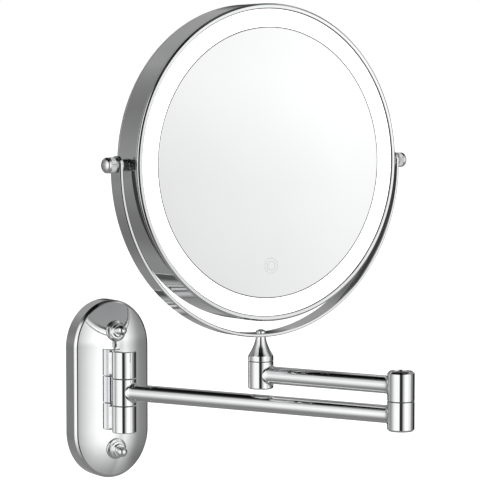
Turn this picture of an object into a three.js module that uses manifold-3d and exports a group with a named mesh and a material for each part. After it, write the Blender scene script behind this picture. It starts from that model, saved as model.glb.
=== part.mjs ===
// Extendable wall-mounted shaving mirror: a domed wall plate, two folding arms, a swivelling yoke
// and a two-sided round mirror with a ring of light. Millimetres, +Z up, wall at +Y.
// The origin is the middle of the wall plate's back face. As built, the lower arm is swung out and the
// upper arm is folded back over it.
import * as THREE from 'three'
import { mergeVertices } from 'three/addons/utils/BufferGeometryUtils.js'
import Module from 'manifold-3d'

const wasm = await Module()
wasm.setup()

// ---- driving dimensions ----

const GAP = 0.3

const PLATE_WIDTH = 58.4
const PLATE_HEIGHT = 124.4
const PLATE_END_HEIGHT = 33
const PLATE_STRAIGHT = PLATE_HEIGHT / 2 - PLATE_END_HEIGHT
const PLATE_WALL = 1.5
const PLATE_EDGE_DEPTH = 13.2
const PLATE_EDGE_ROUND = 1.7
const PLATE_DOME_RISE = 6.6
const BACKING_THICKNESS = 2
const WALL_SCREW_Z = 41

const HINGE_Y = -30.5
const HINGE_RADIUS = 8.4
const HINGE_TOP = 28.2
const KNUCKLE_HALF = 9.2
const SEAM = 0.4
const PIN_RADIUS = 2.5
const BRACKET_SCREW_Z = 18.9

const SWING_AT_REST = -63.8
const FOLD_AT_REST = 178.4
const LOWER_ARM = 214
const UPPER_ARM = 106
const UPPER_ARM_Z = 19
const TUBE_RADIUS = 5.8
const TUBE_BORE = 4.6
const SPIGOT_RADIUS = 4.3
const SPIGOT_REACH = 22

const ELBOW_RADIUS = 8.75
const ELBOW_BOTTOM = -10
const ELBOW_SEAM_Z = 9
const ELBOW_TOP = 28.4
const BOLT_RADIUS = 3

const PIVOT_RADIUS = 8.45
const PIVOT_BOTTOM = 9.5
const PIVOT_TOP = 27.8
const POST_NECK_RADIUS = 3.3
const POST_FLARE = 1.6 // how quickly the bell narrows: 1 would be a plain cone

const HEAD_SWIVEL_AT_REST = 3
const KNOB_AXIS_Z = 159.4
const YOKE_RADIUS = 112.8
const YOKE_CENTRE_DROP = 2.3
const YOKE_THICKNESS = 2.4
const YOKE_WIDTH = 12
const STUD_RADIUS = 2
const BUSH_FLANGE = 0.7

const RIM_RADIUS = 104
const RIM_WALL = 1.8
const HEAD_HALF_DEPTH = 13
const BAND_HALF = 10.4
const GLASS_RADIUS = 88.4
const GLASS_THICKNESS = 3
const DIFFUSER_OUTER = 100.4
const LED_COUNT = 24
const REAR_GLASS_RADIUS = 97.6
const REAR_GLASS_HOLLOW = 3.9
const KNOB_RADIUS = 5.1
const KNOB_END = 121.9
const ICON_DROP = 67.4

const FINE = 48
const ROUND = 20
const SMALL = 12

const degrees = THREE.MathUtils.degToRad

// ---- looks ----

function metal(color, roughness) {
  return () => new THREE.MeshStandardMaterial({ color, roughness, metalness: 1 })
}

function plastic(color, roughness) {
  return () => new THREE.MeshStandardMaterial({ color, roughness, metalness: 0 })
}

const chrome = metal(0xd6d7d9, 0.06)
const steel = metal(0x8e9093, 0.35)
const silver = metal(0xe4e6e8, 0.02)
const nylon = plastic(0xe8e6de, 0.5)
const whitePlastic = plastic(0xf2f2f0, 0.4)
const boardGreen = plastic(0x1d5a37, 0.5)
const opal = plastic(0xffffff, 0.5)

// ---- solids and cuts ----

function solid(geometry) {
  const bare = geometry.clone()
  bare.deleteAttribute('normal')
  bare.deleteAttribute('uv')
  const merged = mergeVertices(bare, 1e-4)
  const corners = merged.index.array
  const triangles = []
  for (let i = 0; i < corners.length; i += 3) {
    const [a, b, c] = [corners[i], corners[i + 1], corners[i + 2]]
    if (a !== b && b !== c && c !== a) triangles.push(a, b, c)
  }
  const vertProperties = new Float32Array(merged.attributes.position.array)
  const mesh = new wasm.Mesh({ numProp: 3, vertProperties, triVerts: new Uint32Array(triangles) })
  return new wasm.Manifold(mesh)
}

function geometryOf(manifold) {
  const mesh = manifold.getMesh()
  const geometry = new THREE.BufferGeometry()
  geometry.setAttribute('position', new THREE.BufferAttribute(mesh.vertProperties, 3))
  geometry.setIndex(new THREE.BufferAttribute(mesh.triVerts, 1))
  geometry.computeVertexNormals()
  return geometry
}

function join(first, ...others) {
  const whole = others.reduce((sum, other) => sum.add(solid(other)), solid(first))
  return geometryOf(whole)
}

function cut(first, ...others) {
  const rest = others.reduce((left, other) => left.subtract(solid(other)), solid(first))
  return geometryOf(rest)
}

// A turned solid. The profile is [radius, height] pairs, running anticlockwise.
function turned(profile, segments = ROUND, axis = 'z') {
  const points = profile.map(([radius, height]) => new THREE.Vector2(radius, height))
  const geometry = new THREE.LatheGeometry(points, segments)
  if (axis === 'z') geometry.rotateX(Math.PI / 2)
  if (axis === 'x') geometry.rotateZ(-Math.PI / 2)
  return geometry
}

function rod(radius, from, to, segments = ROUND, axis = 'z') {
  return turned([[0, from], [radius, from], [radius, to], [0, to]], segments, axis)
}

function ring(inner, outer, from, to, segments = ROUND, axis = 'z') {
  const profile = [[inner, from], [outer, from], [outer, to], [inner, to], [inner, from]]
  return turned(profile, segments, axis)
}

function hexNut(bore, corner, from, to) {
  return cut(rod(corner, from, to, 6), rod(bore, from - 1, to + 1, SMALL))
}

function block(width, depth, height, x = 0, y = 0, z = 0) {
  return new THREE.BoxGeometry(width, depth, height).translate(x, y, z)
}

function add(group, name, geometry, material) {
  const mesh = new THREE.Mesh(geometry, material())
  mesh.name = name
  group.add(mesh)
  return mesh
}

// ---- wall plate ----

// The plate's outline: straight sides, and ends that are half an ellipse.
function plateOutline(inset) {
  const halfWidth = PLATE_WIDTH / 2 - inset
  const endHeight = PLATE_END_HEIGHT - inset
  const outline = new THREE.Shape()
  outline.absellipse(0, PLATE_STRAIGHT, halfWidth, endHeight, 0, Math.PI, false)
  outline.absellipse(0, -PLATE_STRAIGHT, halfWidth, endHeight, Math.PI, 2 * Math.PI, false)
  outline.closePath()
  return outline
}

// A turned profile whose rounds are stretched to the plate's outline: share 1 is the edge.
// A depth is a number, or a function of the place on the plate.
function platePressing(profile, inset) {
  const points = profile.map(([share]) => new THREE.Vector2(share, 0))
  const geometry = new THREE.LatheGeometry(points, FINE)
  const around = plateOutline(inset).getSpacedPoints(FINE)
  const position = geometry.attributes.position
  for (let i = 0; i < position.count; i++) {
    const [share, depth] = profile[i % profile.length]
    const edge = around[Math.floor(i / profile.length) % FINE]
    const [x, z] = [edge.x * share, edge.y * share]
    position.setXYZ(i, x, typeof depth === 'number' ? -depth : -depth(x, z), z)
  }
  return geometry
}

// The face: a barrel vault between the straight sides, with a rounded end above and below.
function domeDepth(x, z) {
  const across = x / (PLATE_WIDTH / 2)
  const pastStraight = Math.max(0, Math.abs(z) - PLATE_STRAIGHT) / PLATE_END_HEIGHT
  return PLATE_EDGE_DEPTH + PLATE_DOME_RISE * (1 - across * across - pastStraight * pastStraight)
}

// The face from the edge to the middle, as [share of the outline, depth] pairs.
function domeProfile(offset, edgeShare, steps) {
  const profile = []
  for (let i = 0; i <= steps; i++) {
    profile.push([edgeShare * (1 - i / steps), (x, z) => domeDepth(x, z) + offset])
  }
  return profile
}

function plateSolid(offset) {
  const roundShare = PLATE_EDGE_ROUND / (PLATE_WIDTH / 2)
  const wallTop = PLATE_EDGE_DEPTH - PLATE_EDGE_ROUND + offset
  const profile = [[0, 0], [1, 0], [1, wallTop]]
  for (let i = 1; i < 3; i++) {
    const turn = (i / 3) * Math.PI / 2
    const rise = PLATE_EDGE_ROUND * Math.sin(turn)
    profile.push([1 - roundShare * (1 - Math.cos(turn)), wallTop + rise])
  }
  return platePressing([...profile, ...domeProfile(offset, 1 - roundShare, 5)], 0)
}

function plateHollow() {
  const depth = PLATE_EDGE_DEPTH - PLATE_WALL
  const profile = [[0, -1], [1, -1], [1, depth], ...domeProfile(-PLATE_WALL, 0.97, 4)]
  return platePressing(profile, PLATE_WALL)
}

const screwSeat = domeDepth(0, WALL_SCREW_Z)
const screwPastStraight = (WALL_SCREW_Z - PLATE_STRAIGHT) / PLATE_END_HEIGHT
const screwLean = Math.atan(2 * PLATE_DOME_RISE * screwPastStraight / PLATE_END_HEIGHT)

// Turns a piece made along +Y (towards the wall) so that it sits square on the dome.
function onDome(geometry, side) {
  return geometry.rotateX(-side * screwLean).translate(0, -screwSeat, side * WALL_SCREW_Z)
}

function wallScrewHole(side) {
  return onDome(rod(3.1, -4, 24, SMALL, 'y'), side)
}

function makeWallCover() {
  const spigotHoles = [1, -1].map((side) =>
    rod(4.4, -24, -8, SMALL, 'y').translate(0, 0, side * BRACKET_SCREW_Z))
  return cut(plateSolid(0), plateHollow(), wallScrewHole(1), wallScrewHole(-1), ...spigotHoles)
}

function makeBackingPlate() {
  const outline = plateOutline(PLATE_WALL + 0.5)
  const plate = new THREE.ExtrudeGeometry(outline, {
    depth: BACKING_THICKNESS, bevelEnabled: false, curveSegments: 12,
  }).rotateX(Math.PI / 2)
  const holes = [1, -1].map((side) => {
    const sink = [[0, -3], [2.3, -3], [2.3, -2.05], [4.3, 0.05], [4.3, 1], [0, 1]]
    return turned(sink, SMALL, 'y').translate(0, 0, side * BRACKET_SCREW_Z)
  })
  return cut(plate, ...holes, wallScrewHole(1), wallScrewHole(-1))
}

function makeSpacerBush(side) {
  return onDome(ring(2.8, 4.8, PLATE_WALL + GAP + 0.6, screwSeat - 2 * BACKING_THICKNESS, SMALL, 'y'), side)
}

function makeWallScrew(side) {
  const profile = [[0, -5], [2.4, -5], [2.4, 30], [1.2, 34], [0, 34]]
  return onDome(turned(profile, SMALL, 'y'), side)
}

function makeFlangeWasher(side) {
  const profile = [[2.7, -1.7], [5.9, -1.7], [7.3, -1.1], [7.4, -0.4], [2.7, -0.4], [2.7, -1.7]]
  return onDome(turned(profile, SMALL, 'y'), side)
}

// The cap nut: a collar, a plain barrel with a blind bore for the screw, and a ball on its end.
function makeDomeNut(side) {
  const ballRadius = 3.6
  const ballCentre = -8.4
  const profile = [[0, ballCentre - ballRadius]]
  for (let i = 1; i <= 4; i++) {
    const turn = i * degrees(33)
    profile.push([ballRadius * Math.sin(turn), ballCentre - ballRadius * Math.cos(turn)])
  }
  profile.push([4.4, -5.9], [4.4, -3.1], [5.6, -2.8], [5.6, -2], [2.7, -2], [2.7, -5.3], [0, -5.3])
  return onDome(turned(profile, SMALL, 'y'), side)
}

function makeBracketScrew(side) {
  const profile = [[0, -12], [2, -12], [2, -1.9], [3.7, -0.2], [0, -0.2]]
  return turned(profile, SMALL, 'y').translate(0, 0, side * BRACKET_SCREW_Z)
}

// A fixed hinge barrel, with a neck that meets the dome and a spigot that passes through it.
function makeHingeBracket(side) {
  const low = KNUCKLE_HALF + SEAM
  const barrel = turned([
    [0, low], [HINGE_RADIUS - 0.3, low], [HINGE_RADIUS, low + 0.3], [HINGE_RADIUS, HINGE_TOP - 0.7],
    [HINGE_RADIUS - 0.7, HINGE_TOP], [0, HINGE_TOP],
  ]).translate(0, HINGE_Y, 0)
  const neckHeight = HINGE_TOP - low - 1.6
  const neckMiddle = (HINGE_TOP + low) / 2
  const neck = block(9, 12, neckHeight, 0, HINGE_Y + 8, neckMiddle)
  const spigotEnd = -(BACKING_THICKNESS + GAP)
  const spigot = rod(4, HINGE_Y, spigotEnd, SMALL, 'y').translate(0, 0, BRACKET_SCREW_Z)
  const thread = rod(2.3, -14, 0, SMALL, 'y').translate(0, 0, BRACKET_SCREW_Z)
  const pinHole = rod(PIN_RADIUS + GAP, 0, side > 0 ? 26 : 40, SMALL).translate(0, HINGE_Y, 0)
  const trimmedNeck = cut(neck, plateSolid(GAP))
  const bracket = cut(join(barrel, trimmedNeck, spigot), thread, pinHole)
  return side > 0 ? bracket : flipped(bracket)
}

// The same piece upside down: a half turn about the Y axis.
function flipped(geometry) {
  return geometry.rotateY(Math.PI)
}

function makeHingePin() {
  const profile = [
    [0, -HINGE_TOP + 0.3], [PIN_RADIUS - 0.3, -HINGE_TOP + 0.3], [PIN_RADIUS, -HINGE_TOP + 0.6],
    [PIN_RADIUS, 25.2], [PIN_RADIUS - 0.5, 25.7], [0, 25.7],
  ]
  return turned(profile, SMALL).translate(0, HINGE_Y, 0)
}

function makeHingeWasher(side) {
  const from = KNUCKLE_HALF - 0.7
  const washer = ring(2.9, 6, from, from + 0.8, SMALL).translate(0, HINGE_Y, 0)
  return side > 0 ? washer : flipped(washer)
}

function buildWallSide() {
  const group = new THREE.Group()
  add(group, 'backing_plate', makeBackingPlate(), steel)
  add(group, 'wall_cover', makeWallCover(), chrome)
  add(group, 'hinge_pin', makeHingePin(), steel)
  for (const [side, place] of [[1, 'top'], [-1, 'bottom']]) {
    add(group, `hinge_bracket_${place}`, makeHingeBracket(side), chrome)
    add(group, `bracket_screw_${place}`, makeBracketScrew(side), steel)
    add(group, `hinge_washer_${place}`, makeHingeWasher(side), nylon)
    add(group, `wall_screw_${place}`, makeWallScrew(side), steel)
    add(group, `spacer_bush_${place}`, makeSpacerBush(side), steel)
    add(group, `flange_washer_${place}`, makeFlangeWasher(side), chrome)
    add(group, `dome_nut_${place}`, makeDomeNut(side), chrome)
  }
  return group
}

// ---- arms ----

function spigot(from, height) {
  const direction = Math.sign(from)
  const near = Math.min(from, direction * SPIGOT_REACH)
  const far = Math.max(from, direction * SPIGOT_REACH)
  return rod(SPIGOT_RADIUS, near, far, SMALL, 'x').translate(0, 0, height)
}

function makeHingeKnuckle() {
  const edge = 0.3
  const barrel = turned([
    [0, -KNUCKLE_HALF], [HINGE_RADIUS - edge, -KNUCKLE_HALF], [HINGE_RADIUS, -KNUCKLE_HALF + edge],
    [HINGE_RADIUS, KNUCKLE_HALF - edge], [HINGE_RADIUS - edge, KNUCKLE_HALF], [0, KNUCKLE_HALF],
  ])
  const bore = rod(PIN_RADIUS + GAP, -20, 20, SMALL)
  const recesses = [1, -1].map((side) =>
    rod(6.3, -2.5, 2.5, SMALL).translate(0, 0, side * (KNUCKLE_HALF + 1.5)))
  return cut(join(barrel, spigot(6, 0)), bore, ...recesses)
}

// A tube whose ends follow the round barrels that it meets.
function makeArmTube(length, nearRadius, farRadius, height) {
  const tube = ring(TUBE_BORE, TUBE_RADIUS, 3, length - 3, ROUND, 'x').translate(0, 0, height)
  const nearBarrel = rod(nearRadius + GAP, -40, 60)
  const farBarrel = rod(farRadius + GAP, -40, 60).translate(length, 0, 0)
  return cut(tube, nearBarrel, farBarrel)
}

function makeElbowLowerBarrel() {
  const chamfer = 1.3
  const barrel = turned([
    [0, ELBOW_BOTTOM], [ELBOW_RADIUS - chamfer, ELBOW_BOTTOM], [ELBOW_RADIUS, ELBOW_BOTTOM + chamfer],
    [ELBOW_RADIUS, ELBOW_SEAM_Z - 0.3], [ELBOW_RADIUS - 0.3, ELBOW_SEAM_Z], [0, ELBOW_SEAM_Z],
  ])
  const bore = rod(BOLT_RADIUS + GAP, -20, 20, SMALL)
  const headRecess = rod(6, -20, ELBOW_BOTTOM + 4, SMALL)
  return cut(join(barrel, spigot(-6, 0)), bore, headRecess)
}

function makeElbowBolt() {
  const headTop = ELBOW_BOTTOM + 3.7
  const profile = [
    [0, ELBOW_BOTTOM + 0.6], [5, ELBOW_BOTTOM + 0.6], [5.6, ELBOW_BOTTOM + 1.2], [5.6, headTop],
    [BOLT_RADIUS, headTop], [BOLT_RADIUS, 24.6], [BOLT_RADIUS - 0.5, 25.1], [0, 25.1],
  ]
  return turned(profile, SMALL)
}

function makeElbowUpperBarrel() {
  const low = ELBOW_SEAM_Z + 0.35
  const chamfer = 1.5
  const barrel = turned([
    [0, low], [ELBOW_RADIUS - 0.3, low], [ELBOW_RADIUS, low + 0.3], [ELBOW_RADIUS, ELBOW_TOP - chamfer],
    [ELBOW_RADIUS - chamfer, ELBOW_TOP], [0, ELBOW_TOP],
  ])
  const bore = rod(BOLT_RADIUS + GAP, 0, 30, SMALL)
  const washerRecess = rod(6.3, 0, low + 0.9, SMALL)
  const nutRecess = rod(6.4, 20, 30, SMALL)
  return cut(join(barrel, spigot(6, UPPER_ARM_Z)), bore, washerRecess, nutRecess)
}

function makePivotBarrel() {
  const edge = 1.2
  const barrel = turned([
    [0, PIVOT_BOTTOM], [PIVOT_RADIUS - 2.2, PIVOT_BOTTOM], [PIVOT_RADIUS - 0.6, PIVOT_BOTTOM + 0.5],
    [PIVOT_RADIUS, PIVOT_BOTTOM + edge], [PIVOT_RADIUS, PIVOT_TOP - 0.3],
    [PIVOT_RADIUS - 0.3, PIVOT_TOP], [0, PIVOT_TOP],
  ])
  const bore = rod(BOLT_RADIUS + GAP, 0, 40, SMALL)
  const headRecess = rod(6, 0, PIVOT_BOTTOM + 7.4, SMALL)
  const washerRecess = rod(6.1, PIVOT_TOP - 0.9, 40, SMALL)
  return cut(join(barrel, spigot(-6, UPPER_ARM_Z)), bore, headRecess, washerRecess)
}

function buildLowerArm() {
  const group = new THREE.Group()
  add(group, 'hinge_knuckle', makeHingeKnuckle(), chrome)
  add(group, 'lower_arm_tube', makeArmTube(LOWER_ARM, HINGE_RADIUS, ELBOW_RADIUS, 0), chrome)
  const elbow = new THREE.Group()
  elbow.position.x = LOWER_ARM
  add(elbow, 'elbow_lower_barrel', makeElbowLowerBarrel(), chrome)
  add(elbow, 'elbow_bolt', makeElbowBolt(), steel)
  add(elbow, 'elbow_washer', ring(3.4, 6, ELBOW_SEAM_Z + 0.15, ELBOW_SEAM_Z + 0.95, SMALL), nylon)
  add(elbow, 'elbow_spring_washer', ring(3.4, 5.6, 20.3, 21.1, SMALL), steel)
  add(elbow, 'elbow_nut', hexNut(3.3, 5.8, 21.4, 24.6), steel)
  group.add(elbow)
  return group
}

function buildUpperArm() {
  const group = new THREE.Group()
  add(group, 'elbow_upper_barrel', makeElbowUpperBarrel(), chrome)
  const cap = [[0, 25.5], [6.1, 25.5], [6.1, 27.5], [5.6, 27.9], [0, 27.9]]
  add(group, 'elbow_cap', turned(cap), chrome)
  add(group, 'upper_arm_tube', makeArmTube(UPPER_ARM, ELBOW_RADIUS, PIVOT_RADIUS, UPPER_ARM_Z), chrome)
  const pivot = new THREE.Group()
  pivot.position.x = UPPER_ARM
  add(pivot, 'pivot_barrel', makePivotBarrel(), chrome)
  add(pivot, 'pivot_bottom_cap', rod(5.7, PIVOT_BOTTOM + 0.3, PIVOT_BOTTOM + 2.2, SMALL), chrome)
  group.add(pivot)
  return group
}

// ---- yoke ----

const strapBottom = KNOB_AXIS_Z - YOKE_CENTRE_DROP - YOKE_RADIUS

// The post flares like a bell from the strap down to the pivot barrel.
function makeYokePost() {
  const low = PIVOT_TOP + GAP
  const top = strapBottom - GAP
  const flareStart = low + 3.2
  const outside = [[0, low], [PIVOT_RADIUS - 0.3, low], [PIVOT_RADIUS, low + 0.3]]
  const steps = 6
  for (let i = 0; i <= steps; i++) {
    const share = i / steps
    const radius = POST_NECK_RADIUS + (PIVOT_RADIUS - POST_NECK_RADIUS) * (1 - share) ** POST_FLARE
    outside.push([radius, flareStart + (top - flareStart) * share])
  }
  outside.push([0, top])
  const boltHole = rod(BOLT_RADIUS + GAP, 0, 36.3, SMALL)
  const screwHole = rod(1.95, 37.8, 60, SMALL)
  return cut(turned(outside), boltHole, screwHole)
}

function makePivotBolt() {
  const headLow = PIVOT_BOTTOM + 2.8
  const headTop = headLow + 3
  const profile = [
    [0, headLow], [5.4, headLow], [5.4, headTop], [BOLT_RADIUS, headTop],
    [BOLT_RADIUS, 35.5], [BOLT_RADIUS - 0.5, 36], [0, 36],
  ]
  return turned(profile, SMALL)
}

// The strap is one bent flat bar: half a ring, with straight ends that carry the knobs.
function makeYokeStrap() {
  const inner = YOKE_RADIUS - YOKE_THICKNESS
  const outline = new THREE.Shape()
  outline.moveTo(YOKE_RADIUS, YOKE_CENTRE_DROP)
  outline.lineTo(inner, YOKE_CENTRE_DROP)
  outline.lineTo(inner, 0)
  outline.absarc(0, 0, inner, 0, Math.PI, true)
  outline.lineTo(-inner, YOKE_CENTRE_DROP)
  outline.lineTo(-YOKE_RADIUS, YOKE_CENTRE_DROP)
  outline.lineTo(-YOKE_RADIUS, 0)
  outline.absarc(0, 0, YOKE_RADIUS, Math.PI, 2 * Math.PI, false)
  const bar = new THREE.ExtrudeGeometry(outline, {
    depth: YOKE_WIDTH, bevelEnabled: false, curveSegments: 28,
  }).rotateX(Math.PI / 2)
  bar.translate(0, YOKE_WIDTH / 2, KNOB_AXIS_Z - YOKE_CENTRE_DROP)
  const tips = [-YOKE_RADIUS, inner].map((x) =>
    rod(YOKE_WIDTH / 2, x, x + YOKE_THICKNESS, SMALL, 'x').translate(0, 0, KNOB_AXIS_Z))
  const studHole = rod(3.7, -200, 200, SMALL, 'x').translate(0, 0, KNOB_AXIS_Z)
  const screwHole = rod(2.1, 30, 60, SMALL)
  return cut(join(bar, ...tips), studHole, screwHole)
}

function makeYokeScrew() {
  const seat = strapBottom + YOKE_THICKNESS + GAP
  const profile = [
    [0, 38.2], [1.65, 38.2], [1.65, seat], [3.35, seat], [3.35, seat + 0.8], [2.7, seat + 1.9],
    [1.4, seat + 2.5], [0, seat + 2.6],
  ]
  return turned(profile, SMALL)
}

function makeYokeBush(side) {
  const inside = YOKE_RADIUS - YOKE_THICKNESS - GAP
  const profile = [
    [2.3, inside - BUSH_FLANGE], [4.6, inside - BUSH_FLANGE], [4.6, inside], [3.4, inside],
    [3.4, YOKE_RADIUS], [2.3, YOKE_RADIUS], [2.3, inside - BUSH_FLANGE],
  ]
  const bush = turned(profile, SMALL, 'x').translate(0, 0, KNOB_AXIS_Z)
  return side > 0 ? bush : bush.rotateZ(Math.PI)
}

function buildYoke() {
  const group = new THREE.Group()
  add(group, 'yoke_post', makeYokePost(), chrome)
  add(group, 'pivot_bolt', makePivotBolt(), steel)
  const springLow = PIVOT_BOTTOM + 6.1
  add(group, 'pivot_spring_washer', ring(3.4, 5.5, springLow, springLow + 0.9, SMALL), steel)
  add(group, 'pivot_washer', ring(3.4, 5.8, PIVOT_TOP - 0.7, PIVOT_TOP + 0.1, SMALL), nylon)
  add(group, 'yoke_strap', makeYokeStrap(), chrome)
  add(group, 'yoke_screw', makeYokeScrew(), chrome)
  add(group, 'yoke_bush_right', makeYokeBush(1), nylon)
  add(group, 'yoke_bush_left', makeYokeBush(-1), nylon)
  return group
}

// ---- mirror head: its own axes, with the origin on the knob axis and the lit side at -Y ----

const rimInner = RIM_RADIUS - RIM_WALL
const glassFront = -(HEAD_HALF_DEPTH - 0.8)
const trayBack = -2.2

function makeRimBand() {
  const band = ring(rimInner, RIM_RADIUS, -BAND_HALF, BAND_HALF, FINE, 'y')
  const bossHoles = rod(3.4, -120, 120, SMALL, 'x')
  return cut(band, bossHoles, socketShape(9.8, 4.2, 20))
}

// A turned bezel: it caps the band and reaches inside it with a short skirt.
function makeBezel(inner, side) {
  const seam = BAND_HALF + GAP
  const front = HEAD_HALF_DEPTH
  const skirt = rimInner - GAP
  const profile = [
    [inner, 5], [skirt, 5], [skirt, seam], [RIM_RADIUS, seam], [RIM_RADIUS, front - 1],
    [RIM_RADIUS - 0.4, front - 0.3], [RIM_RADIUS - 1.2, front], [inner + 0.4, front],
    [inner, front - 0.4], [inner, 5],
  ]
  const bezel = turned(profile, FINE, 'y')
  return side > 0 ? bezel : bezel.rotateX(Math.PI)
}

function makeTray() {
  const outer = DIFFUSER_OUTER - 0.8
  const lipFront = glassFront + GLASS_THICKNESS + GAP
  const wall = 1.6
  const innerLip = GLASS_RADIUS - 1
  const floorFront = trayBack - 1.2
  const profile = [
    [0, floorFront], [innerLip - wall, floorFront], [innerLip - wall, lipFront], [innerLip, lipFront],
    [innerLip, floorFront], [outer - wall, floorFront], [outer - wall, lipFront], [outer, lipFront],
    [outer, trayBack], [0, trayBack],
  ]
  return turned(profile, FINE, 'y')
}

function makeLedBoard() {
  const front = trayBack - 1.2 - GAP - 0.9
  const board = ring(GLASS_RADIUS + 0.6, DIFFUSER_OUTER - 3.6, front, front + 0.9, FINE, 'y')
  const radius = (GLASS_RADIUS + DIFFUSER_OUTER - 3) / 2
  const chips = []
  for (let i = 0; i < LED_COUNT; i++) {
    const chip = block(3.2, 1, 3.2, radius, front - 0.2, 0)
    chips.push(chip.rotateY(i * 2 * Math.PI / LED_COUNT))
  }
  return join(board, ...chips)
}

function makeRearGlass() {
  const rearEdge = HEAD_HALF_DEPTH - 1.3
  const thickness = 2.2
  const profile = []
  const steps = 3
  for (let i = 0; i <= steps; i++) {
    const share = i / steps
    const hollow = REAR_GLASS_HOLLOW * (1 - share * share)
    profile.push([REAR_GLASS_RADIUS * share, rearEdge - hollow - thickness])
  }
  for (let i = steps; i >= 0; i--) {
    const share = i / steps
    profile.push([REAR_GLASS_RADIUS * share, rearEdge - REAR_GLASS_HOLLOW * (1 - share * share)])
  }
  return turned(profile, FINE, 'y')
}

// The charging socket points out through the rim, low on the right.
function socketShape(width, depth, length) {
  const socket = block(length, depth, width, rimInner - 2, 0.6, 0)
  return socket.rotateY(degrees(52))
}

function makeChargingSocket() {
  const shell = block(7.5, 3.4, 9, RIM_RADIUS - 4.2, 0.6, 0)
  const mouth = block(5, 2, 7.4, RIM_RADIUS, 0.6, 0)
  return cut(shell, mouth).rotateY(degrees(52))
}

function makeSideBoss(side) {
  const end = YOKE_RADIUS - YOKE_THICKNESS - 2 * GAP - BUSH_FLANGE
  const profile = [
    [2.3, 100.1], [4, 100.1], [4, 101.8], [3, 101.8], [3, RIM_RADIUS + GAP], [4, RIM_RADIUS + GAP],
    [4, end], [2.3, end], [2.3, 100.1],
  ]
  const boss = turned(profile, SMALL, 'x')
  return side > 0 ? boss : boss.rotateZ(Math.PI)
}

function makeKnob(side) {
  const start = YOKE_RADIUS + GAP
  const groove = KNOB_END - 3.8
  const boreEnd = KNOB_END - 4.4
  const profile = [
    [2.3, start], [4.5, start], [4.5, start + 0.9], [KNOB_RADIUS, start + 1.2],
    [KNOB_RADIUS, groove - 0.3], [4.7, groove], [4.7, groove + 0.4], [KNOB_RADIUS, groove + 0.7],
    [KNOB_RADIUS, KNOB_END - 2.1], [4.6, KNOB_END - 1.1], [3.2, KNOB_END - 0.4], [0, KNOB_END],
    [0, boreEnd], [2.3, boreEnd], [2.3, start],
  ]
  const knob = turned(profile, SMALL, 'x')
  return side > 0 ? knob : knob.rotateZ(Math.PI)
}

function makeKnobStud(side) {
  const from = 101
  const to = KNOB_END - 4.7
  const profile = [[0, from], [1.6, from], [STUD_RADIUS, from + 0.4], [STUD_RADIUS, to], [0, to]]
  const stud = turned(profile, SMALL, 'x')
  return side > 0 ? stud : stud.rotateZ(Math.PI)
}

function buildHead() {
  const group = new THREE.Group()
  add(group, 'rim_band', makeRimBand(), chrome)
  add(group, 'front_bezel', makeBezel(DIFFUSER_OUTER + GAP, -1), chrome)
  add(group, 'rear_bezel', makeBezel(REAR_GLASS_RADIUS + GAP, 1), chrome)
  const glassBack = glassFront + GLASS_THICKNESS
  add(group, 'front_mirror', rod(GLASS_RADIUS, glassFront, glassBack, FINE, 'y'), silver)
  const diffuser = ring(GLASS_RADIUS + 0.5, DIFFUSER_OUTER, glassFront, glassBack, FINE, 'y')
  add(group, 'light_diffuser', diffuser, opal)
  add(group, 'reflector_tray', makeTray(), whitePlastic)
  add(group, 'led_board', makeLedBoard(), whitePlastic)
  const sensor = rod(6, glassBack + GAP, glassBack + 1.2, SMALL, 'y').translate(0, 0, -ICON_DROP)
  add(group, 'touch_sensor', sensor, boardGreen)
  add(group, 'battery_pack', block(64, 4, 38, 0, 0.6, 26), silver)
  add(group, 'control_board', block(44, 1.6, 26, 0, -0.6, -34), boardGreen)
  add(group, 'charging_socket', makeChargingSocket(), steel)
  add(group, 'rear_mirror', makeRearGlass(), silver)
  for (const [side, place] of [[1, 'right'], [-1, 'left']]) {
    add(group, `side_boss_${place}`, makeSideBoss(side), chrome)
    add(group, `${place}_knob`, makeKnob(side), chrome)
    add(group, `${place}_knob_stud`, makeKnobStud(side), steel)
  }
  return group
}

// ---- assembly ----

const mirror = new THREE.Group()
mirror.add(buildWallSide())

const lowerArm = buildLowerArm()
lowerArm.position.y = HINGE_Y
lowerArm.rotation.z = degrees(SWING_AT_REST)
mirror.add(lowerArm)

const upperArm = buildUpperArm()
upperArm.position.x = LOWER_ARM
upperArm.rotation.z = degrees(FOLD_AT_REST)
lowerArm.add(upperArm)

const yoke = buildYoke()
yoke.position.x = UPPER_ARM
yoke.rotation.z = degrees(HEAD_SWIVEL_AT_REST - SWING_AT_REST - FOLD_AT_REST)
upperArm.add(yoke)

const head = buildHead()
head.position.z = KNOB_AXIS_Z
yoke.add(head)

export default mirror
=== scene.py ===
# Extendable shaving mirror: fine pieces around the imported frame. Shapes are in millimetres, each in the
# frame of the axis that it is built on, and are placed in metres.
import math

import bmesh
import bpy
from mathutils import Matrix, Vector


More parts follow.
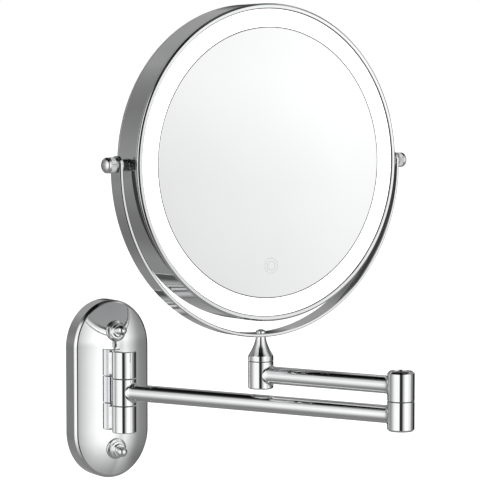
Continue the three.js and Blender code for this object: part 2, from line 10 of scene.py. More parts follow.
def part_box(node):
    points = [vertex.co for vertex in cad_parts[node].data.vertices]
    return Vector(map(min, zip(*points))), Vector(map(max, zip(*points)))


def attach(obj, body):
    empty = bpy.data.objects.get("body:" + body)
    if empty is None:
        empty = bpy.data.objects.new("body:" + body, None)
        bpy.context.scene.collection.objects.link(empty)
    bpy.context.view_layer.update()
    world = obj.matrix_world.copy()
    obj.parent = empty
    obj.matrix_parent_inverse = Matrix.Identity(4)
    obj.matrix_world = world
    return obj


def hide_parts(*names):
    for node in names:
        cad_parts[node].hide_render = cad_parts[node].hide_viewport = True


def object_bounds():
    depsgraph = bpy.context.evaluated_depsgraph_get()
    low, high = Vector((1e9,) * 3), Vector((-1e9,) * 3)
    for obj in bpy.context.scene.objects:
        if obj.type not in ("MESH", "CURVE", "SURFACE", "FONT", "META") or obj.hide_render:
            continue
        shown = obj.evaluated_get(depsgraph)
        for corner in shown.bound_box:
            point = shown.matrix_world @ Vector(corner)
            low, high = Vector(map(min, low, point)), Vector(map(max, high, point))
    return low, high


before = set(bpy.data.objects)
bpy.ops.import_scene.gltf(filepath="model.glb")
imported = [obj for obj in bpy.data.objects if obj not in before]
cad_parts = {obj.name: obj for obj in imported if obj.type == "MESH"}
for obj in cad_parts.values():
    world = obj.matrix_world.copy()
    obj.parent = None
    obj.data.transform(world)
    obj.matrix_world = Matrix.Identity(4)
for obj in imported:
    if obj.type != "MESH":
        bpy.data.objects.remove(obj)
cad_low, cad_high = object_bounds()

MM = 0.001

# ---- dimensions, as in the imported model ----

PLATE_WIDTH = 58.4
PLATE_HEIGHT = 124.4
PLATE_END_HEIGHT = 33
PLATE_WALL = 1.5
PLATE_EDGE_DEPTH = 13.2
PLATE_EDGE_ROUND = 1.7
PLATE_DOME_RISE = 6.6
WALL_SCREW_Z = 41
HINGE_RADIUS = 8.4
HINGE_TOP = 28.2
KNUCKLE_HALF = 9.2
SEAM = 0.4
GAP = 0.3
SWING_AT_REST = -63.8
FOLD_AT_REST = 178.4
LOWER_ARM = 214
UPPER_ARM = 106
UPPER_ARM_Z = 19
TUBE_RADIUS = 5.8
TUBE_BORE = 4.6
ELBOW_RADIUS = 8.75
ELBOW_BOTTOM = -10
ELBOW_SEAM_Z = 9
ELBOW_TOP = 28.4
PIVOT_RADIUS = 8.45
PIVOT_BOTTOM = 9.5
PIVOT_TOP = 27.8
POST_NECK_RADIUS = 3.3
POST_FLARE = 1.6
HEAD_SWIVEL_AT_REST = 3
KNOB_AXIS_Z = 159.4
YOKE_RADIUS = 112.8
YOKE_CENTRE_DROP = 2.3
YOKE_THICKNESS = 2.4
YOKE_WIDTH = 12
RIM_RADIUS = 104
RIM_WALL = 1.8
BAND_HALF = 10.4
HEAD_HALF_DEPTH = 13
GLASS_RADIUS = 88.4
GLASS_THICKNESS = 3
DIFFUSER_OUTER = 100.4
REAR_GLASS_RADIUS = 97.6
REAR_GLASS_HOLLOW = 3.9
KNOB_RADIUS = 5.1
KNOB_END = 121.9
ICON_DROP = 67.4

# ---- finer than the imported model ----

# The plate's rounded edge is a quarter of an ellipse, PLATE_EDGE_ROUND deep and this far across.
PLATE_EDGE_ACROSS = 2.1
TUBE_FLARE = 2.2
ICON_SIDE = -0.4

# Segments round a piece.
AROUND_SMALL = 64
AROUND = 96
AROUND_LARGE = 256

# An edge that turns by more than this many degrees is shaded as sharp.
SHARP = 42
SHARP_DETAIL = 35
SHARP_BAR = 25


# ---- where things are ----

def middle(node):
    low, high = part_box(node)
    return (low + high) / 2


def upright_at(node, turn):
    """A frame on the upright axis through a round node, turned about it, at height 0."""
    centre = middle(node)
    return Matrix.Translation((centre.x, centre.y, 0)) @ Matrix.Rotation(math.radians(turn), 4, "Z")


HINGE_Y = middle("hinge_pin").y / MM
WALL = Matrix.Identity(4)
LOWER = upright_at("hinge_pin", SWING_AT_REST)
ELBOW = upright_at("elbow_cap", SWING_AT_REST)
UPPER = upright_at("elbow_cap", SWING_AT_REST + FOLD_AT_REST)
PIVOT = upright_at("pivot_bottom_cap", SWING_AT_REST + FOLD_AT_REST)
YOKE = upright_at("pivot_bottom_cap", HEAD_SWIVEL_AT_REST)
HEAD = YOKE @ Matrix.Translation((0, 0, KNOB_AXIS_Z * MM))


# ---- profiles and shapes: a shape is (vertices, faces) ----

def arc_corner(before, corner, after, radius, steps):
    """The points that round one corner of a profile, with a holding point at each end."""
    here = Vector(corner[:2])
    back = Vector(before[:2]) - here
    ahead = Vector(after[:2]) - here
    turn = back.angle(ahead)
    reach = min(radius / math.tan(turn / 2), 0.46 * back.length, 0.46 * ahead.length)
    radius = reach * math.tan(turn / 2)
    centre = here + (back.normalized() + ahead.normalized()).normalized() * radius / math.sin(turn / 2)
    start = here + back.normalized() * reach
    end = here + ahead.normalized() * reach
    spread = (start - centre).angle(end - centre)
    hold = min(0.12, 0.05 * min(back.length, ahead.length))
    points = [start + back.normalized() * hold]
    for i in range(steps + 1):
        share = i / steps
        near = math.sin((1 - share) * spread) * (start - centre)
        far = math.sin(share * spread) * (end - centre)
        points.append(centre + (near + far) / math.sin(spread))
    points.append(end + ahead.normalized() * hold)
    return [(p.x, p.y) for p in points]


def rounded(points, closed=False, steps=6):
    """Rounds the corners of a profile. A point is (radius, height), or (radius, height, fillet)."""
    result = []
    count = len(points)
    for i, point in enumerate(points):
        at_end = not closed and i in (0, count - 1)
        if len(point) == 3 and not at_end:
            result += arc_corner(points[i - 1], point, points[(i + 1) % count], point[2], steps)
        else:
            result.append(tuple(point[:2]))
    return result


def lofted(rows, closed_along=False):
    """Joins rows of points, each a closed loop, into a skin. A row of one point is a pole."""
    verts, faces, starts = [], [], []
    for row in rows:
        starts.append(len(verts))
        verts += row
    pairs = list(zip(range(len(rows)), range(1, len(rows))))
    if closed_along:
        pairs.append((len(rows) - 1, 0))
    for a, b in pairs:
        around = max(len(rows[a]), len(rows[b]))
        for i in range(around):
            j = (i + 1) % around
            corners = []
            if len(rows[a]) > 1:
                corners += [starts[a] + i, starts[a] + j]
            else:
                corners.append(starts[a])
            if len(rows[b]) > 1:
                corners += [starts[b] + j, starts[b] + i]
            else:
                corners.append(starts[b])
            faces.append(corners)
    return verts, faces


def on_axis(axis, across, up, along):
    """A point of a turned shape, with its axis laid along X, Y or Z."""
    if axis == "x":
        return along, across, up
    if axis == "y":
        return across, along, up
    return across, up, along


def loop(radius, height, segments, axis="z"):
    """One turned row. The radius may be a function of the angle."""
    if not callable(radius) and radius < 1e-6:
        return [on_axis(axis, 0, 0, height)]
    row = []
    for i in range(segments):
        turn = 2 * math.pi * i / segments
        size = radius(turn) if callable(radius) else radius
        row.append(on_axis(axis, size * math.cos(turn), size * math.sin(turn), height))
    return row


def turned(profile, segments=AROUND, axis="z", closed=False):
    return lofted([loop(radius, height, segments, axis) for radius, height in profile], closed)


def placed(shape, matrix):
    """Moves a shape by a matrix that is in millimetres."""
    verts, faces = shape
    return [tuple(matrix @ Vector(v)) for v in verts], faces


def joined(*shapes):
    verts, faces = [], []
    for more_verts, more_faces in shapes:
        start = len(verts)
        verts += more_verts
        faces += [[start + i for i in face] for face in more_faces]
    return verts, faces


def hexagon(across_corners):
    """The radius of a hexagon with slightly rounded corners, as a function of the angle."""
    flat = across_corners * math.cos(math.pi / 6)

    def radius(turn):
        within = (turn % (math.pi / 3)) - math.pi / 6
        return min(flat / math.cos(within), 0.97 * across_corners)
    return radius


def piece(name, shape, place, body, replaced, material, sharp=SHARP):
    """Makes a mesh object of a shape, puts it in its frame and lets it ride on its body."""
    verts, faces = shape
    mesh = bpy.data.meshes.new(name)
    mesh.from_pydata([place @ (Vector(v) * MM) for v in verts], [], faces)
    work = bmesh.new()
    work.from_mesh(mesh)
    bmesh.ops.recalc_face_normals(work, faces=work.faces)
    work.to_mesh(mesh)
    work.free()
    mesh.shade_smooth()
    mesh.set_sharp_from_angle(angle=math.radians(sharp))
    mesh.materials.append(material)
    obj = bpy.data.objects.new(name, mesh)
    bpy.context.scene.collection.objects.link(obj)
    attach(obj, body)
    if replaced:
        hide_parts(*replaced)
    return obj


# ---- materials ----

def new_material(name, **settings):
    material = bpy.data.materials.new(name)
    material.use_nodes = True
    shader = material.node_tree.nodes["Principled BSDF"]
    for socket, value in settings.items():
        shader.inputs[socket.replace("_", " ")].default_value = value
    return material, material.node_tree, shader


def noise(tree, scale, detail=4, stretch=(1, 1, 1)):
    coordinates = tree.nodes.new("ShaderNodeTexCoord")
    mapping = tree.nodes.new("ShaderNodeMapping")
    mapping.inputs["Scale"].default_value = stretch
    texture = tree.nodes.new("ShaderNodeTexNoise")
    texture.inputs["Scale"].default_value = scale
    texture.inputs["Detail"].default_value = detail
    tree.links.new(coordinates.outputs["Object"], mapping.inputs["Vector"])
    tree.links.new(mapping.outputs["Vector"], texture.inputs["Vector"])
    return texture.outputs["Fac"]


def ranged(tree, value, low, high, start=0.3, end=0.7):
    """Maps a texture's middle range to a range of values."""
    node = tree.nodes.new("ShaderNodeMapRange")
    node.inputs["From Min"].default_value = start
    node.inputs["From Max"].default_value = end
    node.inputs["To Min"].default_value = low
    node.inputs["To Max"].default_value = high
    tree.links.new(value, node.inputs["Value"])
    return node.outputs["Result"]


def two_colours(tree, value, first, second):
    """Maps a texture's middle range to a run from one colour to another."""
    ramp = tree.nodes.new("ShaderNodeValToRGB")
    ramp.color_ramp.elements[0].color = (*first, 1)
    ramp.color_ramp.elements[0].position = 0.3
    ramp.color_ramp.elements[1].color = (*second, 1)
    ramp.color_ramp.elements[1].position = 0.7
    tree.links.new(value, ramp.inputs["Fac"])
    return ramp.outputs["Color"]


def bump(tree, shader, value, strength, distance):
    node = tree.nodes.new("ShaderNodeBump")
    node.inputs["Strength"].default_value = strength
    node.inputs["Distance"].default_value = distance
    tree.links.new(value, node.inputs["Height"])
    tree.links.new(node.outputs["Normal"], shader.inputs["Normal"])


def make_chrome(name, light, dark, gloss=(0.015, 0.05)):
    """Polished plating: faint smears in its tint and gloss, and a trace of orange peel."""
    material, tree, shader = new_material(name, Metallic=1.0)
    smears = noise(tree, 45, 5)
    colour = two_colours(tree, smears, dark, light)
    tree.links.new(colour, shader.inputs["Base Color"])
    tree.links.new(ranged(tree, noise(tree, 320, 6), *gloss), shader.inputs["Roughness"])
    bump(tree, shader, noise(tree, 700, 3), 0.02, 0.0002)
    return material


def make_steel(name):
    """Bright machined steel with fine turning marks along one direction."""
    material, tree, shader = new_material(name, Metallic=1.0)
    marks = noise(tree, 500, 4, (1, 1, 9))
    colour = two_colours(tree, marks, (0.42, 0.42, 0.43), (0.6, 0.6, 0.61))
    tree.links.new(colour, shader.inputs["Base Color"])
    tree.links.new(ranged(tree, marks, 0.22, 0.42), shader.inputs["Roughness"])
    bump(tree, shader, marks, 0.15, 0.0002)
    return material


def make_plastic(name, first, second, roughness, grain=900):
    """Moulded plastic: a slight mottle in the colour and a fine matt grain."""
    material, tree, shader = new_material(name)
    spread = 0.06
    colour = two_colours(tree, noise(tree, 60, 3), first, second)
    tree.links.new(colour, shader.inputs["Base Color"])
    gloss = ranged(tree, noise(tree, 200, 4), roughness - spread, roughness + spread)
    tree.links.new(gloss, shader.inputs["Roughness"])
    bump(tree, shader, noise(tree, grain, 2), 0.12, 0.0002)
    return material


def make_mirror_glass(name, light, dark):
    """Silvered glass: nearly perfect, with the faintest wiped film."""
    material, tree, shader = new_material(name, Metallic=1.0)
    film = noise(tree, 14, 3)
    tree.links.new(two_colours(tree, film, dark, light), shader.inputs["Base Color"])
    tree.links.new(ranged(tree, noise(tree, 90, 4), 0.0, 0.012), shader.inputs["Roughness"])
    return material


def make_opal(name):
    """Lit opal plastic: an even glow with a soft grain."""
    material, tree, shader = new_material(name, Roughness=0.4)
    grain = noise(tree, 260, 4)
    colour = two_colours(tree, grain, (0.93, 0.93, 0.92), (0.98, 0.98, 0.97))
    tree.links.new(colour, shader.inputs["Base Color"])
    shader.inputs["Emission Color"].default_value = (1, 0.995, 0.985, 1)
    tree.links.new(ranged(tree, grain, 0.9, 1.1), shader.inputs["Emission Strength"])
    return material


def make_board(name):
    """Circuit board: solder mask over a pattern of tracks."""
    material, tree, shader = new_material(name, Roughness=0.35)
    coordinates = tree.nodes.new("ShaderNodeTexCoord")
    brick = tree.nodes.new("ShaderNodeTexBrick")
    brick.inputs["Scale"].default_value = 260
    brick.inputs["Mortar Size"].default_value = 0.03
    brick.inputs["Color1"].default_value = (0.010, 0.085, 0.035, 1)
    brick.inputs["Color2"].default_value = (0.014, 0.11, 0.045, 1)
    brick.inputs["Mortar"].default_value = (0.05, 0.22, 0.09, 1)
    tree.links.new(coordinates.outputs["Object"], brick.inputs["Vector"])
    tree.links.new(brick.outputs["Color"], shader.inputs["Base Color"])
    bump(tree, shader, brick.outputs["Fac"], 0.2, 0.0002)
    return material


CHROME = make_chrome("chrome_plating", (0.90, 0.905, 0.91), (0.86, 0.865, 0.87))
STEEL = make_steel("bright_steel")
NYLON = make_plastic("nylon", (0.74, 0.72, 0.66), (0.8, 0.78, 0.72), 0.5)
GLASS = make_mirror_glass("silvered_glass", (0.94, 0.945, 0.945), (0.92, 0.925, 0.925))
REAR_GLASS = make_mirror_glass("magnifying_glass", (0.93, 0.935, 0.94), (0.91, 0.915, 0.92))
OPAL = make_opal("lit_opal")
WHITE = make_plastic("white_plastic", (0.82, 0.82, 0.81), (0.88, 0.88, 0.87), 0.4)
BOARD = make_board("green_board")
WRAP = make_plastic("battery_wrap", (0.03, 0.05, 0.16), (0.04, 0.07, 0.2), 0.35)
ETCH = make_plastic("etched_mark", (0.55, 0.56, 0.57), (0.62, 0.63, 0.64), 0.6)
RUBBER = make_plastic("black_seal", (0.012, 0.012, 0.013), (0.024, 0.024, 0.025), 0.5)
GREY_SEAL = make_plastic("grey_seal", (0.13, 0.13, 0.132), (0.2, 0.2, 0.202), 0.5)
DARK = make_chrome("dark_plating", (0.6, 0.605, 0.61), (0.5, 0.505, 0.51))

# ---- wall plate ----

STRAIGHT = PLATE_HEIGHT / 2 - PLATE_END_HEIGHT


def outline_row(inset, share, depth_at, segments):
    """One row round the plate's outline: straight sides and ends that are half an ellipse."""
    half_width = PLATE_WIDTH / 2 - inset
    end_height = PLATE_END_HEIGHT - inset
    ends = segments // 2 - segments // 8
    sides = segments // 8
    points = []
    for half in (1, -1):
        for i in range(ends):
            turn = math.pi * i / ends
            x = half * half_width * math.cos(turn)
            points.append((x, half * (STRAIGHT + end_height * math.sin(turn))))
        for i in range(sides):
            points.append((-half * half_width, half * STRAIGHT * (1 - 2 * i / sides)))
    return [(x * share, -depth_at(x * share, z * share), z * share) for x, z in points]


def dome_depth(x, z, offset=0.0):
    """The face: a barrel vault between the straight sides, with a rounded end above and below."""
    across = x / (PLATE_WIDTH / 2)
    past_straight = max(0.0, abs(z) - STRAIGHT) / PLATE_END_HEIGHT
    return PLATE_EDGE_DEPTH + PLATE_DOME_RISE * (1 - across ** 2 - past_straight ** 2) + offset


def make_cover():
    """The pressing: a straight skirt, the rounded edge and the domed face, open at the back."""
    around = AROUND_LARGE
    rim_depth = PLATE_EDGE_DEPTH - PLATE_EDGE_ROUND
    edge_steps = 12
    face_steps = 30

    def flat(depth):
        return lambda x, z: depth

    rows = [outline_row(PLATE_WALL, 1, flat(0.0), around), outline_row(0.25, 1, flat(0.0), around)]
    rows += [outline_row(0, 1, flat(depth), around) for depth in (0.3, 0.5, rim_depth - 0.4, rim_depth)]

    def rounding(lift):
        return lambda x, z: rim_depth + (dome_depth(x, z) - rim_depth) * lift

    def under_face(x, z):
        return dome_depth(x, z, -PLATE_WALL)

    for i in range(1, edge_steps):
        turn = math.pi / 2 * i / edge_steps
        inset = PLATE_EDGE_ACROSS * (1 - math.cos(turn))
        rows.append(outline_row(inset, 1, rounding(math.sin(turn)), around))
    for share in [1, 0.995] + [1 - i / face_steps for i in range(1, face_steps)]:
        rows.append(outline_row(PLATE_EDGE_ACROSS, share, dome_depth, around))
    rows.append([(0, -dome_depth(0, 0), 0)])
    inside = [[(0, PLATE_WALL - dome_depth(0, 0), 0)]]
    for share in (0.1, 0.3, 0.5, 0.7, 0.9, 1):
        inside.append(outline_row(PLATE_EDGE_ACROSS, share, under_face, around))
    inside.append(outline_row(PLATE_WALL, 1, flat(rim_depth - 0.4), around))
    return joined(lofted(rows), lofted(inside + [rows[0]]))


def weld(obj):
    """Merges the doubled rows where two skins of one piece meet."""
    work = bmesh.new()
    work.from_mesh(obj.data)
    bmesh.ops.remove_doubles(work, verts=work.verts, dist=1e-7)
    bmesh.ops.recalc_face_normals(work, faces=work.faces)
    work.to_mesh(obj.data)
    work.free()
    obj.data.set_sharp_from_angle(angle=math.radians(SHARP))


SCREW_SEAT = dome_depth(0, WALL_SCREW_Z)
SCREW_PAST_STRAIGHT = (WALL_SCREW_Z - STRAIGHT) / PLATE_END_HEIGHT
SCREW_LEAN = math.atan(2 * PLATE_DOME_RISE * SCREW_PAST_STRAIGHT / PLATE_END_HEIGHT)


def on_dome(side):
    """The frame of a wall screw: on the face, leaning with it. Its outward side is -Y."""
    lean = Matrix.Rotation(-side * SCREW_LEAN, 4, "X")
    return Matrix.Translation((0, -SCREW_SEAT, side * WALL_SCREW_Z)) @ lean


def make_flange():
    """The washer under a cap nut."""
    profile = [(2.7, -1.7), (5.7, -1.7, 0.5), (7.3, -0.9, 0.6), (7.4, -0.1), (2.7, -0.1)]
    return turned(rounded(profile, closed=True), AROUND_SMALL, "y", closed=True)


def make_dome_nut():
    """A cap nut: most of a ball on a stepped barrel."""
    ball, centre, seat = 3.6, -8.4, -1.75
    sweep, steps = math.radians(132), 16
    profile = [(0, centre - ball)]
    for i in range(1, steps + 1):
        turn = i * sweep / steps
        profile.append((ball * math.sin(turn), centre - ball * math.cos(turn)))
    profile += rounded([
        profile[-1], (2.7, -5.9, 0.3), (4.4, -5.6, 0.4), (4.4, -3.1, 0.3), (5.6, -2.8, 0.35),
        (5.6, seat, 0.1), (0, seat),
    ])[1:]
    return turned(profile, AROUND_SMALL, "y")


def make_thread(length, core, crest, pitch, start):
    """A turned thread: one ridge to each pitch, then a point."""
    profile = [(0, start), (core, start)]
    for i in range(int(length / pitch)):
        foot = start + i * pitch
        profile += [(core, foot + 0.1 * pitch), (crest, foot + 0.5 * pitch), (core, foot + 0.9 * pitch)]
    end = start + length
    profile += [(core, end), (0.5 * core, end + 3), (0, end + 3.4)]
    return turned(profile, AROUND_SMALL // 2, "y")


def build_wall():
    cover = piece("cover_pressing", make_cover(), WALL, "wall", ["wall_cover"], CHROME)
    weld(cover)
    low = KNUCKLE_HALF + SEAM
    barrel = turned(rounded([
        (0, low), (HINGE_RADIUS, low, 0.35), (HINGE_RADIUS, HINGE_TOP, 0.7), (0, HINGE_TOP),
    ]))
    bracket = joined(placed(barrel, Matrix.Translation((0, HINGE_Y, 0))), make_neck(low))
    thread = make_thread(length=30.4, core=1.7, crest=2.35, pitch=1.1, start=0)
    for side, place in ((1, "top"), (-1, "bottom")):
        turn = Matrix.Identity(4) if side > 0 else Matrix.Rotation(math.pi, 4, "Y")
        piece(f"hinge_barrel_{place}", placed(bracket, turn), WALL, "wall",
              [f"hinge_bracket_{place}"], CHROME)
        piece(f"screw_flange_{place}", placed(make_flange(), on_dome(side)), WALL, "wall",
              [f"flange_washer_{place}"], CHROME)
        piece(f"dome_cap_{place}", placed(make_dome_nut(), on_dome(side)), WALL, "wall",
              [f"dome_nut_{place}"], CHROME)
        piece(f"threaded_stud_{place}", placed(thread, on_dome(side)), WALL, "wall",
              [f"wall_screw_{place}"], STEEL)


def make_neck(low):
    """The short neck between a hinge barrel and the cover, with rounded long edges."""
    half_width, corner, short_of_end = 4.5, 1.6, 0.8
    bottom, top = low + short_of_end, HINGE_TOP - short_of_end
    middle_z, half_z = (top + bottom) / 2, (top - bottom) / 2
    rows = []
    for back, grow in ((3, 0.0), (8.6, 0.0), (9.8, 0.5), (10.9, 1.6)):
        row = []
        for cx, cz, start in ((1, 1, 0), (-1, 1, 90), (-1, -1, 180), (1, -1, 270)):
            for i in range(7):
                turn = math.radians(start + 15 * i)
                x = cx * (half_width + grow - corner) + corner * math.cos(turn)
                z = middle_z + cz * (half_z - corner) + corner * math.sin(turn)
                row.append((x, HINGE_Y + back, z))
        rows.append(row)
    ends = [[(0, row[0][1], middle_z)] for row in (rows[0], rows[-1])]
    return lofted([ends[0], *rows, ends[1]])


# ---- arms ----

def make_tube(length, near_radius, far_radius, height):
    """A tube that flares softly into the round barrel at each end."""
    segments = AROUND_SMALL
    steps = 8
    sunk, hold, bore_short = 0.05, 0.6, 3

    def meeting(barrel, across):
        return math.sqrt(barrel ** 2 - across ** 2)

    def flare_rows(barrel):
        rows = []
        for step in range(steps + 1):
            share = step / steps
            row = []
            for i in range(segments):
                turn = 2 * math.pi * i / segments
                across, up = math.cos(turn), math.sin(turn)
                foot_size = TUBE_RADIUS + TUBE_FLARE
                foot_x = meeting(barrel, foot_size * across) - sunk
                corner_x = meeting(barrel, TUBE_RADIUS * across)
                far_x = corner_x + TUBE_FLARE
                first, second, third = (1 - share) ** 2, 2 * share * (1 - share), share ** 2
                x = first * foot_x + second * corner_x + third * far_x
                size = first * foot_size + (second + third) * TUBE_RADIUS
                row.append((x, size * across, height + size * up))
            rows.append(row)
        return rows

    def ring_at(x, size):
        return [(x, y, height + z) for _, y, z in loop(size, 0, segments, "x")]

    near = flare_rows(near_radius)
    far = [[(length - x, y, z) for x, y, z in row] for row in reversed(flare_rows(far_radius))]
    start, end = near_radius + TUBE_FLARE + hold, length - far_radius - TUBE_FLARE - hold
    middle_rows = [ring_at(x, TUBE_RADIUS) for x in (start, start + hold, end - hold, end)]
    inner = [ring_at(x, TUBE_BORE) for x in (length - bore_short, bore_short)]
    return lofted([*near, *middle_rows, *far, *inner], closed_along=True)


def make_socket_head(radius, low, high, dome, socket, deep, segments=72):
    """A round screw head with a slightly tapered hexagonal socket in its top."""
    side = [(radius, low), (radius, high - dome)]
    crown = [(radius * math.cos(t), high - dome + dome * math.sin(t))
             for t in (math.radians(15 * i) for i in range(1, 5))]
    rows = [[(0, 0, low)]]
    rows += [loop(r, z, segments) for r, z in side + crown]
    rows.append(loop(hexagon(socket), high, segments))
    rows.append(loop(hexagon(socket * 0.96), high - deep, segments))
    rows.append([(0, 0, high - deep - 0.3)])
    return lofted(rows)


def build_lower_arm():
    knuckle = turned(rounded([
        (0, -KNUCKLE_HALF), (HINGE_RADIUS, -KNUCKLE_HALF, 0.35),
        (HINGE_RADIUS, KNUCKLE_HALF, 0.35), (0, KNUCKLE_HALF),
    ]))
    piece("hinge_knuckle_barrel", knuckle, LOWER, "lower_arm", ["hinge_knuckle"], CHROME)
    tube = make_tube(LOWER_ARM, HINGE_RADIUS, ELBOW_RADIUS, 0)
    piece("lower_tube", tube, LOWER, "lower_arm", ["lower_arm_tube"], CHROME)
    recess_radius, recess_top, chamfer = 6, ELBOW_BOTTOM + 4, 1.1
    barrel = turned(rounded([
        (0, recess_top), (recess_radius, recess_top), (recess_radius, ELBOW_BOTTOM, 0.2),
        (ELBOW_RADIUS - chamfer, ELBOW_BOTTOM, 0.4), (ELBOW_RADIUS, ELBOW_BOTTOM + chamfer, 0.8),
        (ELBOW_RADIUS, ELBOW_SEAM_Z, 0.35), (0, ELBOW_SEAM_Z),
    ]))
    piece("elbow_lower", barrel, ELBOW, "lower_arm", ["elbow_lower_barrel"], CHROME)
    head = make_socket_head(radius=5.5, low=-recess_top + 0.1, high=-ELBOW_BOTTOM - 0.7, dome=0.6,
                            socket=2.9, deep=2.4)
    upside_down = Matrix.Rotation(math.pi, 4, "X")
    piece("elbow_bolt_head", placed(head, upside_down), ELBOW, "lower_arm",
          ["elbow_bolt"], STEEL, SHARP_DETAIL)


def build_upper_arm():
    low, chamfer = ELBOW_SEAM_Z + 0.35, 1.4
    recess_radius, recess_floor = 6.4, 25.3
    barrel = turned(rounded([
        (0, low), (ELBOW_RADIUS, low, 0.35), (ELBOW_RADIUS, ELBOW_TOP - chamfer, 0.9),
        (ELBOW_RADIUS - chamfer, ELBOW_TOP, 0.5), (recess_radius, ELBOW_TOP, 0.2),
        (recess_radius, recess_floor), (0, recess_floor),
    ]))
    piece("elbow_upper", barrel, UPPER, "upper_arm", ["elbow_upper_barrel"], CHROME)
    cap_radius, cap_bottom, cap_top = 6.15, 25.5, 27.9
    cap = turned(rounded([
        (0, cap_bottom), (cap_radius, cap_bottom), (cap_radius, cap_top, 0.5), (0, cap_top),
    ]))
    piece("elbow_cap_disc", cap, UPPER, "upper_arm", ["elbow_cap"], CHROME)
    tube = make_tube(UPPER_ARM, ELBOW_RADIUS, PIVOT_RADIUS, UPPER_ARM_Z)
    piece("upper_tube", tube, UPPER, "upper_arm", ["upper_arm_tube"], CHROME)
    socket_radius, socket_top = 5.9, PIVOT_BOTTOM + 2.3
    pivot = turned(rounded([
        (0, socket_top), (socket_radius, socket_top), (socket_radius, PIVOT_BOTTOM, 0.15),
        (PIVOT_RADIUS, PIVOT_BOTTOM, 1.3), (PIVOT_RADIUS, PIVOT_TOP, 0.3), (0, PIVOT_TOP),
    ]))
    piece("pivot_socket", pivot, PIVOT, "upper_arm", ["pivot_barrel"], CHROME)
    plug_radius, plug_top = 5.7, PIVOT_BOTTOM + 2.2
    plug = turned(rounded([
        (0, PIVOT_BOTTOM + 0.15), (plug_radius, PIVOT_BOTTOM + 0.5, 0.3), (plug_radius, plug_top),
        (0, plug_top),
    ]))
    piece("pivot_plug", plug, PIVOT, "upper_arm", ["pivot_bottom_cap"], CHROME)


# ---- yoke ----

STRAP_BOTTOM = KNOB_AXIS_Z - YOKE_CENTRE_DROP - YOKE_RADIUS


def make_post():
    """The post flares like a bell from the strap down to the pivot."""
    low = PIVOT_TOP + GAP
    top = STRAP_BOTTOM - 0.05
    shoulder = low + 3.2

    def flare(share):
        radius = POST_NECK_RADIUS + (PIVOT_RADIUS - POST_NECK_RADIUS) * (1 - share) ** POST_FLARE
        return radius, shoulder + (top - shoulder) * share

    profile = rounded([
        (0, low), (PIVOT_RADIUS, low, 0.3), (PIVOT_RADIUS, shoulder, 2.4), flare(0.13), flare(0.15),
    ])
    steps, first = 30, 5
    profile += [flare(i / steps) for i in range(first, steps + 1)]
    profile.append((0, top))
    return turned(profile)


def strap_stations():
    """Stations along the strap's middle line: (x, z, direction of its outer side, half width)."""
    radius = YOKE_RADIUS - YOKE_THICKNESS / 2
    tip = YOKE_WIDTH / 2
    tip_steps, arc_steps, least = 12, 160, 0.5
    stations = []
    for i in range(tip_steps):
        rise = tip * math.sin(math.pi / 2 * (1 - i / tip_steps))
        half_width = max(least, math.sqrt(tip ** 2 - rise ** 2))
        stations.append((radius, rise, 0.0, half_width))
    stations.append((radius, 0.0, 0.0, tip))
    for i in range(arc_steps + 1):
        turn = math.pi * i / arc_steps
        z = -YOKE_CENTRE_DROP - radius * math.sin(turn)
        stations.append((radius * math.cos(turn), z, -turn, tip))
    mirrored = [(-x, z, math.pi - turn, w) for x, z, turn, w in reversed(stations[:tip_steps + 1])]
    return stations + [(x, z, -math.pi + (turn - math.pi), w) for x, z, turn, w in mirrored]


def strap_section(half_thick, half_width):
    """The bar's section as (outward, along Y) points: a flat bar whose long edges are bevelled."""
    across = min(0.62, half_thick * 0.52)
    down = min(0.42, half_width * 0.3)
    quarter = [(half_thick, half_width - down - 0.25), (half_thick, half_width - down - 0.1),
               (half_thick - 0.04, half_width - down + 0.02), (half_thick - across + 0.04, half_width - 0.02),
               (half_thick - across - 0.08, half_width), (half_thick - across - 0.2, half_width)]
    return (quarter + [(-x, y) for x, y in reversed(quarter)] + [(-x, -y) for x, y in quarter]
            + [(x, -y) for x, y in reversed(quarter)])


def make_strap():
    rows = []
    for x, z, turn, half_width in strap_stations():
        out = Vector((math.cos(turn), 0, math.sin(turn)))
        section = strap_section(YOKE_THICKNESS / 2, half_width)
        rows.append([(x + out.x * across, y, z + out.z * across + KNOB_AXIS_Z) for across, y in section])
    ends = [[tuple(sum(axis) / len(row) for axis in zip(*row))] for row in (rows[0], rows[-1])]
    return lofted([ends[0], *rows, ends[1]])


def build_yoke():
    piece("bell_post", make_post(), YOKE, "yoke", ["yoke_post"], CHROME)
    piece("strap_bar", make_strap(), YOKE, "yoke", ["yoke_strap"], CHROME, SHARP_BAR)
    seat = STRAP_BOTTOM + YOKE_THICKNESS
    screw = make_socket_head(radius=3.35, low=seat + 0.05, high=seat + 2.3, dome=1.6, socket=1.3, deep=1.2)
    piece("strap_screw_head", screw, YOKE, "yoke", ["yoke_screw"], CHROME, SHARP_DETAIL)


# ---- mirror head: in its own frame the lit side is at -Y ----

RIM_INNER = RIM_RADIUS - RIM_WALL
GLASS_FRONT = -(HEAD_HALF_DEPTH - 0.8)
BEVEL = 1.15
BEVEL_LEAN = math.radians(36)


def flipped_y(profile):
    return [(point[0], -point[1], *point[2:]) for point in profile]


def bezel_profile(inner):
    """A ring that caps the band: soft outer corner, flat bevel, narrow face, and a lip at the glass."""
    front = HEAD_HALF_DEPTH
    bevel_foot = front - BEVEL * math.sin(BEVEL_LEAN)
    bevel_out = RIM_RADIUS - 0.25
    return [
        (RIM_INNER - 0.4, 5), (RIM_INNER - 0.4, BAND_HALF + 0.1), (RIM_RADIUS, BAND_HALF + 0.1, 0.12),
        (RIM_RADIUS, bevel_foot - 0.3, 0.3), (bevel_out, bevel_foot, 0.3),
        (bevel_out - BEVEL * math.cos(BEVEL_LEAN), front, 0.15), (inner + 0.4, front, 0.08),
        (inner, front - 0.27, 0.08), (inner, 5),
    ]


